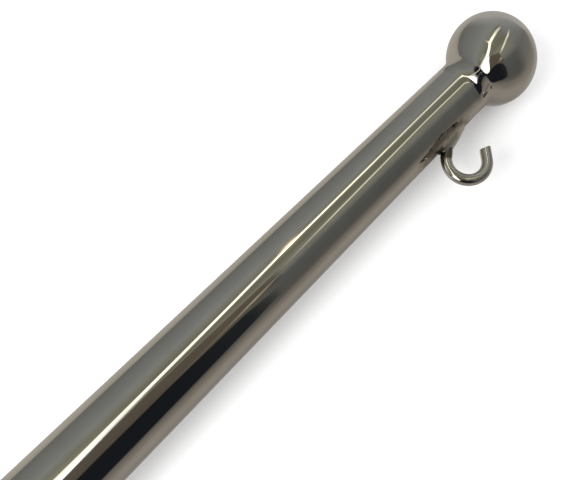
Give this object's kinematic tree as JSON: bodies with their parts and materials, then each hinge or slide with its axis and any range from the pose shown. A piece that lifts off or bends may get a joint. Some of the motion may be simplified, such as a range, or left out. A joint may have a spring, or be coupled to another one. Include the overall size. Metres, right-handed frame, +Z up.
{
  "type": "stainless steel flagpole",
  "caption": "Polished stainless steel staff tube with a hollow ball finial, open flag hooks welded to one side and a plugged foot.",
  "frame": {"origin": "centre of the flat face under the foot plug", "axes": "+Z up the staff to the ball, +X from the staff towards the flag hooks"},
  "size_m": [0.0558, 0.042, 0.6009],
  "materials": {
    "polished_steel": "mirror-polished stainless steel",
    "polished_rod": "bright polished stainless steel rod",
    "weld_metal": "unpolished TIG weld, dull and heat tinted",
    "black_nylon": "moulded black polyamide"
  },
  "bodies": {
    "root": {"staff_tube": "polished_steel", "finial_ball": "polished_steel", "neck_weld": "polished_steel", "upper_hook": "polished_rod", "upper_hook_weld": "weld_metal", "lower_hook": "polished_rod", "lower_hook_weld": "weld_metal", "foot_plug": "black_nylon"}
  },
  "joints": []
}
